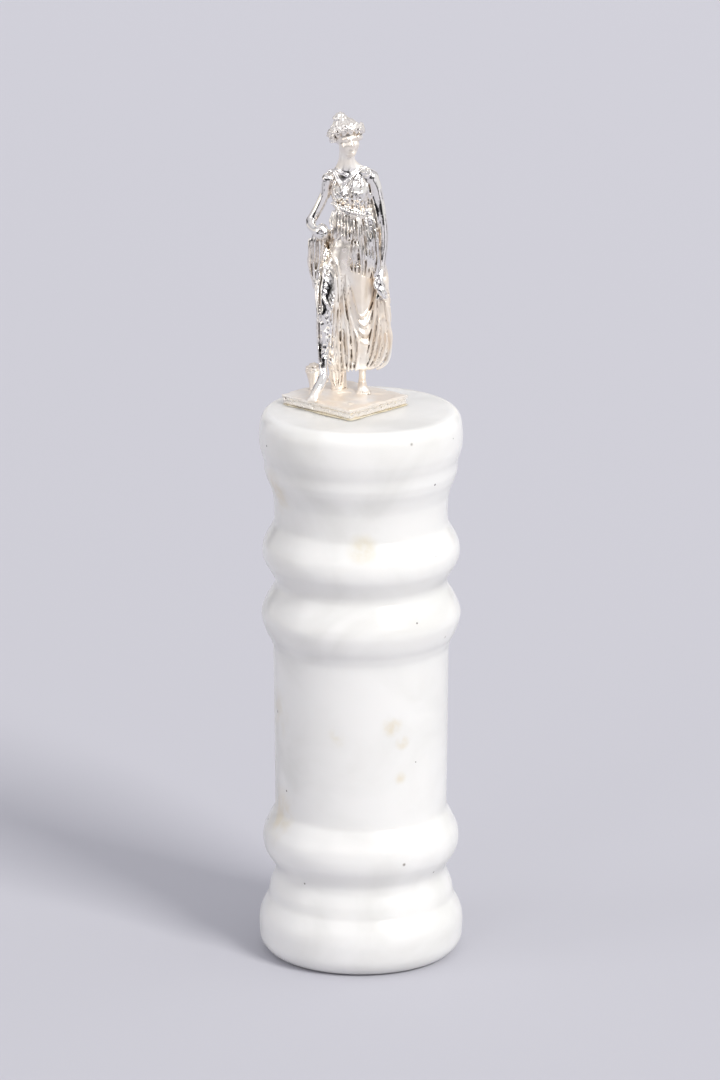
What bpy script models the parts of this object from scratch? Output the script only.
"""Silver figurine of a draped dancer, cast in one with its square plate, on a turned white marble pedestal.

Metres, +Z up. The origin is the centre of the pedestal's underside. The dancer faces -Y.
"""

import math

import bmesh
import bpy
from mathutils import Matrix, Vector

MM = 0.001

# Pedestal: heights run up from the table, radii from its axis
PEDESTAL_HEIGHT = 136.8 * MM
CONTACT_RADIUS = 21.2 * MM
FOOT_RADIUS = 25.1 * MM
FOOT_BULGE_HEIGHT = 14.6 * MM
FOOT_SHOULDER_RADIUS = 22.6 * MM
FOOT_SHOULDER_HEIGHT = 7.0 * MM
GROOVE_RADIUS = 20.9 * MM
LOW_BEAD_HEIGHT = 15.7 * MM
LOW_BEAD_RADIUS = 24.0 * MM
SHAFT_RADIUS = 21.3 * MM
HIGH_BEAD_HEIGHT = 15.2 * MM
HIGH_BEAD_RADIUS = 24.2 * MM
NECK_HEIGHT = 8.2 * MM
COLLAR_STEP_HEIGHT = 4.4 * MM
COLLAR_RADIUS = 23.5 * MM
COLLAR_BAND_HEIGHT = 4.6 * MM
LIP_SWELL_HEIGHT = 5.2 * MM
LIP_RADIUS = 24.85 * MM
LIP_ROUND_HEIGHT = 5.6 * MM
LIP_ROUND_DEPTH = 2.3 * MM
TURNING_STEPS = 40

# Plate under the dancer's feet
PLATE_LENGTH = 22.8 * MM
PLATE_WIDTH = 20.3 * MM
PLATE_THICKNESS = 2.35 * MM
PLATE_TURN = math.radians(-43.2)
PLATE_CENTRE = (-3.95 * MM, 4.6 * MM)
PLATE_EDGE_BEVEL = 0.25 * MM
SEAT_GAP = 0.3 * MM

# Dancer: the carving is laid out in divisions, of which her height has seventy
DANCER_HEIGHT = 70.0 * MM
DANCER_CENTRE = (-4.1 * MM, 4.1 * MM)
CARVING_DIVISIONS = 70
CAST_GRID = 0.3 * MM
CAST_SMOOTHING = 2
CAST_TRIANGLE_SHARE = 0.056
SINK = 0.8

TUBE_SIDES = 10
LOFT_SIDES = 40
PATH_STEPS = 6


def clear_scene():
    for old in list(bpy.data.objects):
        bpy.data.objects.remove(old, do_unlink=True)


def new_collection(name):
    made = bpy.data.collections.new(name)
    bpy.context.scene.collection.children.link(made)
    return made


def new_material(name, colour, roughness, metallic):
    made = bpy.data.materials.new(name)
    made.use_nodes = True
    shader = made.node_tree.nodes["Principled BSDF"]
    shader.inputs["Base Color"].default_value = (*colour, 1.0)
    shader.inputs["Roughness"].default_value = roughness
    shader.inputs["Metallic"].default_value = metallic
    return made


# Pedestal

def quarter_round(low, high, bulge_at_low, steps=4):
    """Points of a quarter ellipse between two (radius, height) corners, fullest beside the low or the high one."""
    points = []
    for i in range(steps + 1):
        turn = math.pi / 2 * i / steps
        if bulge_at_low:
            radius = high[0] + (low[0] - high[0]) * math.cos(turn)
            height = low[1] + (high[1] - low[1]) * math.sin(turn)
        else:
            radius = low[0] + (high[0] - low[0]) * math.sin(turn)
            height = high[1] - (high[1] - low[1]) * math.cos(turn)
        points.append((radius, height))
    return points


def bead(low, high, crest, steps=8, sharpness=1.5):
    """Points of a rounded ring between two (radius, height) grooves, with its crest half way up."""
    points = []
    for i in range(1, steps):
        share = i / steps
        valley = low[0] + (high[0] - low[0]) * share
        swell = math.sin(math.pi * share) ** sharpness
        points.append((valley + (crest - valley) * swell, low[1] + (high[1] - low[1]) * share))
    return points


def ease(low, high, steps=3):
    """Points of a soft S between two (radius, height) corners, without the corners."""
    points = []
    for i in range(1, steps):
        share = i / steps
        blend = (1 - math.cos(math.pi * share)) / 2
        points.append((low[0] + (high[0] - low[0]) * blend, low[1] + (high[1] - low[1]) * share))
    return points


def pedestal_profile():
    """The turned outline as (radius, height), from the underside's edge up to the edge of the flat top."""
    foot_crest = FOOT_BULGE_HEIGHT / 2
    foot_top = FOOT_BULGE_HEIGHT
    low_groove = foot_top + FOOT_SHOULDER_HEIGHT
    shaft_low = low_groove + LOW_BEAD_HEIGHT
    lip_top = PEDESTAL_HEIGHT
    lip_crest = lip_top - LIP_ROUND_HEIGHT
    band_top = lip_crest - LIP_SWELL_HEIGHT
    band_low = band_top - COLLAR_BAND_HEIGHT
    neck_top = band_low - COLLAR_STEP_HEIGHT
    neck_low = neck_top - NECK_HEIGHT
    pair_groove = neck_low - HIGH_BEAD_HEIGHT
    shaft_top = pair_groove - HIGH_BEAD_HEIGHT

    outline = quarter_round((CONTACT_RADIUS, 0.0), (FOOT_RADIUS, foot_crest), False)
    outline += quarter_round((FOOT_RADIUS, foot_crest), (FOOT_SHOULDER_RADIUS, foot_top), True)[1:]
    outline += quarter_round((FOOT_SHOULDER_RADIUS, foot_top), (GROOVE_RADIUS, low_groove), True, 3)[1:]
    outline += bead((GROOVE_RADIUS, low_groove), (SHAFT_RADIUS, shaft_low), LOW_BEAD_RADIUS)
    outline += [(SHAFT_RADIUS, shaft_low), (SHAFT_RADIUS, shaft_top)]
    outline += bead((SHAFT_RADIUS, shaft_top), (GROOVE_RADIUS, pair_groove), HIGH_BEAD_RADIUS)
    outline += [(GROOVE_RADIUS, pair_groove)]
    outline += bead((GROOVE_RADIUS, pair_groove), (SHAFT_RADIUS, neck_low), HIGH_BEAD_RADIUS)
    outline += [(SHAFT_RADIUS, neck_low), (SHAFT_RADIUS, neck_top)]
    outline += quarter_round((SHAFT_RADIUS, neck_top), (COLLAR_RADIUS, band_low), False, 3)[1:]
    outline += [(COLLAR_RADIUS, band_top)]
    outline += ease((COLLAR_RADIUS, band_top), (LIP_RADIUS, lip_crest))
    outline += quarter_round((LIP_RADIUS, lip_crest), (LIP_RADIUS - LIP_ROUND_DEPTH, lip_top), True)
    return outline


def make_pedestal(collection, material):
    """The outline turned about the axis, from the centre of the top down to the centre of the underside."""
    outline = pedestal_profile()
    rim = [(0.0, PEDESTAL_HEIGHT)] + outline[::-1] + [(0.0, 0.0)]
    mesh = bpy.data.meshes.new("marble_pedestal")
    points = [(radius, 0.0, height) for radius, height in rim]
    mesh.from_pydata(points, [(i, i + 1) for i in range(len(points) - 1)], [])
    made = bpy.data.objects.new("marble_pedestal", mesh)
    collection.objects.link(made)
    made.data.materials.append(material)
    screw = made.modifiers.new("turning", "SCREW")
    screw.steps = TURNING_STEPS
    screw.render_steps = TURNING_STEPS
    screw.use_merge_vertices = True
    screw.merge_threshold = 0.00001
    screw.use_smooth_shade = True
    return made


# Shapes that the casting is put together from, in divisions

def smooth_path(controls):
    """A smooth curve through control points of any size, such as (x, y, z, radius)."""
    size = len(controls[0])
    ends = [controls[0]] + list(controls) + [controls[-1]]
    path = []
    for i in range(1, len(ends) - 2):
        before, start, end, after = ends[i - 1:i + 3]
        for step in range(PATH_STEPS):
            t = step / PATH_STEPS
            path.append(tuple(
                0.5 * (2 * start[k] + (end[k] - before[k]) * t
                       + (2 * before[k] - 5 * start[k] + 4 * end[k] - after[k]) * t ** 2
                       + (3 * start[k] - before[k] - 3 * end[k] + after[k]) * t ** 3)
                for k in range(size)))
    path.append(tuple(controls[-1]))
    return path


def skin_rings(bm, rings):
    """Quads between rings of points, each end closed by a fan about its middle."""
    rows = [[bm.verts.new(point) for point in ring] for ring in rings]
    sides = len(rows[0])
    for low, high in zip(rows, rows[1:]):
        for i in range(sides):
            j = (i + 1) % sides
            bm.faces.new((low[i], low[j], high[j], high[i]))
    for row, flip in ((rows[0], True), (rows[-1], False)):
        middle = bm.verts.new(sum((v.co for v in row), Vector()) / sides)
        for i in range(sides):
            j = (i + 1) % sides
            corners = (row[j], row[i], middle) if flip else (row[i], row[j], middle)
            bm.faces.new(corners)


def tube(bm, controls, flat=1.0, wide=(1, 0, 0)):
    """A round-ended tube along (x, y, z, radius) controls. Across the direction wide it is thinned to flat."""
    path = smooth_path(controls)
    spots = [Vector(p[:3]) for p in path]
    radii = [max(p[3], 0.05) for p in path]
    reference = Vector(wide)
    rings = []
    for i, (spot, radius) in enumerate(zip(spots, radii)):
        along = (spots[min(i + 1, len(spots) - 1)] - spots[max(i - 1, 0)]).normalized()
        across = reference - along * reference.dot(along)
        across = across.normalized() if across.length > 0.05 else along.orthogonal().normalized()
        third = along.cross(across)
        shares = [(0.0, 1.0)]
        if i == 0:
            shares = [(-0.9, 0.35), (-0.6, 0.78), (0.0, 1.0)]
        if i == len(spots) - 1:
            shares = [(0.0, 1.0), (0.6, 0.78), (0.9, 0.35)]
        for shift, size in shares:
            ring = []
            for side in range(TUBE_SIDES):
                turn = math.tau * side / TUBE_SIDES
                offset = across * math.cos(turn) + third * (flat * math.sin(turn))
                ring.append(spot + along * (shift * radius) + offset * (radius * size))
            rings.append(ring)
    skin_rings(bm, rings)


def ball(bm, centre, radii, turn=0.0, tip=0.0):
    """An ellipsoid, tipped about X and then turned about Z, in degrees."""
    made = bmesh.ops.create_uvsphere(bm, u_segments=16, v_segments=10, radius=1.0)
    place = (Matrix.Translation(centre) @ Matrix.Rotation(math.radians(turn), 4, "Z")
             @ Matrix.Rotation(math.radians(tip), 4, "X") @ Matrix.Diagonal((*radii, 1.0)))
    bmesh.ops.transform(bm, matrix=place, verts=made["verts"])


def loft(bm, rows, pleats=0, depth=0.0, phase=0.0, scallop=0.0):
    """A stack of level ellipses given as (z, x, y, half width, half depth), with pleats that deepen along it."""
    path = smooth_path(rows)
    rings = []
    for i, (z, x, y, half_width, half_depth) in enumerate(path):
        share = i / (len(path) - 1)
        ring = []
        for side in range(LOFT_SIDES):
            turn = math.tau * side / LOFT_SIDES
            wave = math.cos(pleats * turn + phase) if pleats else 0.0
            swell = depth * share * wave
            ring.append(Vector((
                x + (half_width + swell) * math.cos(turn),
                y + (half_depth + swell) * math.sin(turn),
                z + scallop * share * wave)))
        rings.append(ring)
    skin_rings(bm, rings)


def between(first, last, share):
    return tuple(a + (b - a) * share for a, b in zip(first, last))


def fan(bm, first, last, count, lift=0.0):
    """Folds of cloth: tubes spread evenly from the first controls to the last, every other one lifted by lift."""
    for i in range(count):
        share = i / max(count - 1, 1)
        controls = [between(a, b, share) for a, b in zip(first, last)]
        rise = lift if i % 2 else 0.0
        tube(bm, [(x, y - rise, z, r) for x, y, z, r in controls])


# The dancer

def body(bm):
    loft(bm, [(33.0, 1.9, 2.3, 5.0, 3.2), (36.5, 2.0, 2.2, 5.3, 3.6), (40.0, 2.0, 2.0, 4.9, 3.3),
              (44.3, 2.1, 1.9, 4.1, 2.8), (47.0, 1.8, 1.8, 4.4, 2.9), (49.7, 1.5, 1.8, 4.8, 3.0),
              (52.3, 1.5, 2.1, 4.9, 2.5), (53.8, 1.5, 2.3, 4.5, 1.9), (55.0, 1.2, 2.4, 2.6, 1.6)])
    for x, y in ((-0.8, -0.1), (3.5, -0.2)):
        ball(bm, (x, y, 49.8), (1.9, 1.7, 1.8))
    tube(bm, [(0.8, 2.6, 53.0, 2.5), (0.7, 2.4, 55.6, 2.1), (0.8, 2.1, 60.0, 1.95)])
    tube(bm, [(-3.4, 2.7, 52.9, 1.5), (-1.0, 2.7, 54.9, 1.6), (0.7, 2.7, 56.4, 1.7)])
    tube(bm, [(6.4, 2.8, 53.2, 1.5), (3.4, 2.7, 55.0, 1.6), (0.9, 2.7, 56.4, 1.7)])


def head(bm):
    """A plain oval head, turned and tipped to her left, with a brow, nose, lips and chin."""
    turn, tip = 17, -6
    ball(bm, (0.95, 2.0, 63.6), (2.45, 2.85, 2.9), turn, tip)
    ball(bm, (1.15, 1.35, 61.5), (2.0, 2.15, 2.35), turn, tip)
    ball(bm, (1.75, -0.2, 59.9), (0.8, 0.75, 0.65), turn, tip)
    tube(bm, [(0.6, -0.8, 63.5, 0.4), (1.6, -1.0, 63.4, 0.45), (2.5, -0.5, 63.3, 0.35)])
    tube(bm, [(1.6, -0.9, 63.2, 0.35), (1.75, -1.3, 61.9, 0.42)])
    tube(bm, [(1.1, -0.6, 60.9, 0.3), (1.75, -0.9, 60.85, 0.32), (2.4, -0.5, 60.9, 0.3)])


def hair(bm):
    """Hair drawn up under a wreath of flowers, which leans with the head, to a bun of curls, with a roll behind."""
    ball(bm, (0.5, 2.6, 64.6), (3.3, 3.5, 3.2))
    ball(bm, (-0.2, 2.4, 66.6), (2.2, 2.3, 1.4))
    ball(bm, (0.3, 5.6, 62.8), (2.0, 1.5, 1.7))
    for side, x, height in ((-1, -2.8, 63.0), (1, 3.7, 63.6)):
        tube(bm, [(x, 0.3, height, 0.6), (x - 0.3 * side, 2.4, height - 0.6, 0.7)])
    flowers = 15
    for i in range(flowers):
        turn = math.tau * (i + 0.5) / flowers
        across, back = math.cos(turn), math.sin(turn)
        height = 64.8 + 0.55 * across - 1.5 * back
        size = 1.15 if i % 2 else 1.0
        ball(bm, (0.5 + 3.75 * across, 2.1 + 3.65 * back, height), (size, size, 1.2 * size))
    ball(bm, (-0.95, 2.5, 68.4), (1.95, 1.85, 1.4))


def arms(bm):
    """Her right arm, bent with the hand closed on the cloth at her hip, and her left arm, hanging, with its hand."""
    tube(bm, [(-3.8, 2.7, 52.9, 1.45), (-4.5, 3.1, 49.3, 1.2), (-6.4, 3.5, 45.0, 1.15), (-7.9, 3.5, 42.4, 1.15),
              (-7.8, 1.4, 41.6, 1.05), (-6.9, -0.3, 41.0, 0.9), (-6.2, -1.2, 40.8, 0.95)])
    tube(bm, [(6.75, 2.6, 53.3, 1.55), (7.8, 2.7, 50.3, 1.37), (8.45, 2.7, 47.3, 1.25), (9.0, 2.5, 44.3, 1.2),
              (9.4, 2.2, 41.3, 1.15), (9.5, 1.7, 37.8, 1.12), (9.2, 1.1, 34.2, 1.0), (8.75, 0.4, 30.6, 0.88)])
    tube(bm, [(8.75, 0.4, 30.6, 0.9), (8.5, 0.1, 29.0, 1.0), (8.6, -0.3, 27.3, 0.95)], flat=0.8)
    fan(bm, [(8.1, -0.3, 27.4, 0.45), (8.3, -0.8, 26.0, 0.42), (8.9, -0.8, 24.8, 0.34)],
        [(9.2, 0.0, 27.4, 0.45), (9.8, -0.2, 26.0, 0.42), (10.2, -0.1, 24.8, 0.34)], 3)
    tube(bm, [(7.8, 0.0, 29.0, 0.45), (7.4, -0.6, 27.9, 0.42), (7.6, -1.0, 26.8, 0.35)])


def legs(bm):
    """Her right leg, forward with its foot pointed over the plate's edge, and the left leg and foot she stands on."""
    tube(bm, [(-0.8, 2.2, 34.0, 3.0), (-3.2, 0.8, 28.5, 2.85), (-4.35, -1.0, 22.6, 2.1), (-4.55, -1.4, 20.0, 1.9),
              (-4.75, -0.9, 15.5, 1.85), (-4.95, -1.0, 11.5, 1.55), (-5.05, -1.7, 7.6, 1.05), (-4.95, -2.3, 5.9, 0.95)])
    tube(bm, [(-4.9, -2.3, 5.9, 0.95), (-5.3, -3.3, 4.4, 1.0), (-6.4, -4.9, 2.6, 1.0), (-7.4, -6.3, 1.3, 0.95),
              (-8.3, -7.5, 0.6, 0.6)], flat=0.8)
    ball(bm, (-4.55, -1.8, 5.2), (0.85, 0.9, 1.0))
    tube(bm, [(4.2, 2.2, 34.0, 3.0), (3.1, 1.3, 28.0, 2.6), (3.4, 0.9, 22.5, 2.0), (3.9, 0.8, 19.8, 1.8),
              (4.7, 1.6, 15.5, 1.8), (4.7, 2.3, 11.5, 1.55), (4.5, 3.1, 6.8, 1.05), (4.45, 3.5, 3.6, 0.92)])
    tube(bm, [(4.45, 4.4, 1.0, 1.0), (4.5, 3.2, 0.9, 1.15), (4.65, 1.9, 0.5, 1.5), (4.8, 0.9, 0.2, 1.4)], flat=0.6)
    ball(bm, (4.4, 4.2, 2.2), (0.9, 1.0, 1.5))


def bodice(bm):
    """Folds from the shoulders that cross below a V-neck, a gathered shoulder and the beaded girdle."""
    fan(bm, [(5.6, 1.2, 54.2, 0.6), (3.6, -0.9, 52.2, 0.55), (0.4, -1.9, 49.6, 0.5), (-2.4, -1.0, 47.4, 0.4)],
        [(6.6, 1.4, 53.4, 0.6), (5.2, -1.1, 51.6, 0.6), (4.6, -2.2, 49.4, 0.5), (3.6, -1.4, 46.8, 0.4)], 4)
    fan(bm, [(-3.4, 1.3, 54.0, 0.6), (-1.2, -0.1, 53.0, 0.5), (1.2, -0.9, 51.6, 0.4)],
        [(-4.4, 1.4, 53.0, 0.7), (-3.4, -0.6, 50.6, 0.6), (-2.2, -1.4, 48.2, 0.4)], 4)
    ball(bm, (5.4, 1.6, 54.2), (1.5, 1.3, 0.9), turn=20)
    tube(bm, [(-3.8, 2.2, 53.0, 1.9), (-4.7, 2.8, 50.8, 1.75), (-5.4, 3.3, 49.0, 1.55)])
    loft(bm, [(47.0, 2.0, 1.8, 4.2, 2.9), (46.2, 2.05, 1.75, 4.8, 3.5), (45.3, 2.1, 1.75, 4.8, 3.5),
              (44.6, 2.1, 1.8, 4.3, 3.0)])
    ball(bm, (5.6, -0.7, 45.4), (1.1, 0.9, 1.0))


def overfold(bm):
    """The gathered cloth that falls from the girdle over the hips, and the longer layer beside the hanging arm."""
    loft(bm, [(45.2, 2.1, 1.85, 4.4, 3.1), (43.4, 2.1, 1.8, 4.9, 3.6), (40.6, 2.1, 1.8, 5.4, 4.1),
              (38.2, 2.1, 1.9, 5.6, 4.3), (37.6, 2.1, 1.9, 5.0, 3.8)], pleats=13, depth=0.35, phase=1.0, scallop=0.5)
    fan(bm, [(3.4, -1.6, 44.0, 0.5), (2.7, -2.3, 38.0, 0.65), (2.0, -2.2, 33.5, 0.65), (1.7, -1.9, 30.2, 0.5)],
        [(6.6, 0.2, 44.0, 0.5), (7.3, 0.3, 38.0, 0.7), (7.5, 0.4, 33.5, 0.7), (7.9, 0.6, 29.6, 0.55)], 7, lift=0.25)


def skirt(bm):
    """The long skirt: a core behind the legs, and folds of cloth laid over it all round."""
    loft(bm, [(37.5, 2.0, 2.3, 5.0, 3.5), (31.0, 1.4, 2.5, 5.8, 3.5), (25.0, 1.5, 2.8, 6.3, 3.3),
              (18.0, 2.5, 3.0, 7.2, 3.0), (12.0, 3.0, 3.1, 7.4, 2.8), (8.0, 2.8, 3.2, 6.8, 2.7),
              (5.9, 2.4, 3.3, 5.4, 2.5)])
    # From between the thighs down to the hem, leaning to her left
    fan(bm, [(-0.4, -1.6, 31.0, 0.6), (-1.6, -1.6, 24.0, 0.75), (-1.6, -0.4, 14.0, 0.8), (-1.2, 0.8, 6.2, 0.7)],
        [(1.2, -1.3, 31.0, 0.5), (1.2, -0.9, 24.0, 0.6), (2.6, 0.2, 14.0, 0.7), (3.9, 1.4, 6.6, 0.6)], 5, lift=0.35)
    # Swags from the hand that holds the cloth out, each wider than the last
    fan(bm, [(9.2, 0.9, 28.6, 0.5), (7.3, 0.3, 23.4, 0.6), (5.0, -0.6, 19.6, 0.55), (3.6, -0.7, 18.6, 0.4)],
        [(9.8, 1.2, 27.0, 0.6), (9.9, 1.4, 18.0, 0.75), (8.7, 1.4, 10.0, 0.8), (5.8, 1.6, 6.6, 0.6)], 5, lift=0.3)
    tube(bm, [(9.9, 1.6, 26.0, 0.7), (10.4, 2.0, 19.0, 0.8), (10.9, 2.4, 13.5, 0.8), (10.4, 2.7, 9.0, 0.9),
              (8.6, 2.8, 6.6, 0.8)])
    # Down her right side, from the hip along the thigh and shin
    tube(bm, [(-2.2, 0.6, 27.0, 1.4), (-2.6, 0.6, 18.0, 1.6), (-2.6, 0.8, 11.0, 1.5), (-2.6, 1.2, 7.0, 1.2)])
    fan(bm, [(-2.6, 0.2, 35.0, 0.6), (-5.3, -0.4, 27.5, 0.7), (-6.0, -0.6, 18.0, 0.65), (-5.6, 0.2, 8.5, 0.6)],
        [(-2.4, 3.4, 35.0, 0.6), (-4.6, 3.4, 27.5, 0.7), (-5.0, 3.4, 18.0, 0.8), (-4.6, 3.6, 6.6, 0.7)], 4)
    # Round the back
    fan(bm, [(-1.8, 4.6, 35.5, 0.7), (-3.6, 5.2, 27.0, 0.8), (-3.8, 5.4, 16.0, 0.95), (-3.4, 5.2, 6.2, 0.9)],
        [(6.6, 4.2, 35.5, 0.7), (7.8, 4.2, 27.0, 0.8), (9.0, 4.2, 16.0, 0.95), (8.0, 4.6, 6.8, 0.85)], 8, lift=-0.5)


def train(bm):
    """The cloth behind her right foot that reaches the plate, and the short post beside it."""
    loft(bm, [(9.0, -2.0, 3.4, 2.9, 1.9), (5.0, -2.0, 4.2, 2.6, 1.7), (2.0, -2.0, 4.9, 2.5, 1.6),
              (-SINK, -2.0, 5.2, 2.7, 1.7)])
    fan(bm, [(-3.2, -0.6, 12.0, 0.7), (-3.6, 0.8, 5.0, 0.6), (-3.9, 1.6, 1.2, 0.6)],
        [(0.0, 1.2, 12.0, 0.7), (-0.3, 3.0, 5.0, 0.6), (-0.4, 4.2, -0.4, 0.6)], 5)


def mantle(bm):
    """The cloth bunched in the hand on her hip, its hanging end, and the part that goes round behind."""
    ball(bm, (-5.45, -1.2, 40.7), (1.85, 1.6, 1.85))
    fan(bm, [(-7.5, 0.3, 39.6, 0.7), (-8.0, 1.0, 35.8, 0.75), (-7.8, 1.0, 32.0, 0.65), (-7.2, 1.0, 26.6, 0.4)],
        [(-4.8, 0.4, 39.0, 0.9), (-4.9, 0.9, 35.8, 0.9), (-5.6, 1.0, 32.0, 0.8), (-6.6, 1.0, 27.6, 0.5)], 4, lift=0.3)
    tube(bm, [(6.0, 0.3, 43.6, 1.0), (7.2, 0.5, 38.5, 1.4), (7.4, 0.6, 33.0, 1.3), (7.9, 0.7, 28.8, 0.8)])
    fan(bm, [(-6.2, 1.2, 40.2, 0.8), (-3.4, 4.6, 39.2, 0.8), (2.4, 6.2, 36.6, 0.8), (7.0, 4.6, 33.0, 0.8),
             (8.9, 2.4, 29.4, 0.6)],
        [(-6.0, 1.6, 37.0, 0.8), (-3.4, 4.8, 34.6, 0.8), (2.4, 6.2, 30.6, 0.8), (7.6, 4.6, 28.0, 0.8),
         (9.6, 2.4, 26.0, 0.6)], 4)


def flower_pot(bm):
    x, y = -7.3, 5.0
    loft(bm, [(-SINK, x, y, 1.35, 1.35), (0.8, x, y, 1.1, 1.1), (3.0, x, y, 1.55, 1.55), (4.5, x, y, 2.1, 2.1),
              (5.1, x, y, 2.15, 2.15)])
    blooms = 7
    for i in range(blooms):
        turn = math.tau * i / blooms
        ball(bm, (x + 1.35 * math.cos(turn), y + 1.35 * math.sin(turn), 5.4 + 0.2 * (i % 2)), (0.7, 0.7, 0.65))
    ball(bm, (x, y, 6.0), (1.0, 1.0, 0.9))


def on_plate(centre):
    """The place of a point on the plate's top, given as (x, y) from the pedestal's axis."""
    return Matrix.Translation((*centre, PEDESTAL_HEIGHT + SEAT_GAP + PLATE_THICKNESS))


def make_plate(collection):
    """The nearly square plate as a box. It is joined to the dancer, so it is only a helper here."""
    bm = bmesh.new()
    bmesh.ops.create_cube(bm, size=1.0)
    size = Matrix.Diagonal((PLATE_LENGTH, PLATE_WIDTH, PLATE_THICKNESS, 1.0))
    drop = Matrix.Translation((0, 0, -PLATE_THICKNESS / 2))
    turn = Matrix.Rotation(PLATE_TURN, 4, "Z")
    bmesh.ops.transform(bm, matrix=on_plate(PLATE_CENTRE) @ turn @ drop @ size, verts=bm.verts)
    mesh = bpy.data.meshes.new("plate")
    bm.to_mesh(mesh)
    bm.free()
    made = bpy.data.objects.new("plate", mesh)
    collection.objects.link(made)
    bevel = made.modifiers.new("soft edges", "BEVEL")
    bevel.width = PLATE_EDGE_BEVEL
    bevel.segments = 1
    made.hide_render = True
    made.display_type = "WIRE"
    return made


def make_dancer(collection, material, plate):
    """All the shapes fused on a fine grid into one casting, thinned out, and joined to the plate."""
    bm = bmesh.new()
    for shape in (body, head, hair, arms, legs, bodice, overfold, skirt, train, mantle, flower_pot):
        shape(bm)
    mesh = bpy.data.meshes.new("silver_dancer")
    bm.to_mesh(mesh)
    bm.free()
    mesh.transform(on_plate(DANCER_CENTRE) @ Matrix.Scale(DANCER_HEIGHT / CARVING_DIVISIONS, 4))
    made = bpy.data.objects.new("silver_dancer", mesh)
    collection.objects.link(made)
    made.data.materials.append(material)
    fuse = made.modifiers.new("fuse", "REMESH")
    fuse.mode = "VOXEL"
    fuse.voxel_size = CAST_GRID
    fuse.use_smooth_shade = True
    soften = made.modifiers.new("soften", "SMOOTH")
    soften.factor = 0.5
    soften.iterations = CAST_SMOOTHING
    thin = made.modifiers.new("thin out", "DECIMATE")
    thin.ratio = CAST_TRIANGLE_SHARE
    join = made.modifiers.new("join the plate", "BOOLEAN")
    join.operation = "UNION"
    join.object = plate
    return made


def main():
    clear_scene()
    parts = new_collection("silver_dancer_figurine")
    helpers = new_collection("helpers")
    marble = new_material("polished_white_marble", (0.90, 0.89, 0.87), 0.3, 0.0)
    silver = new_material("bright_cast_silver", (0.93, 0.90, 0.86), 0.18, 1.0)
    make_pedestal(parts, marble)
    plate = make_plate(helpers)
    make_dancer(parts, silver, plate)


main()
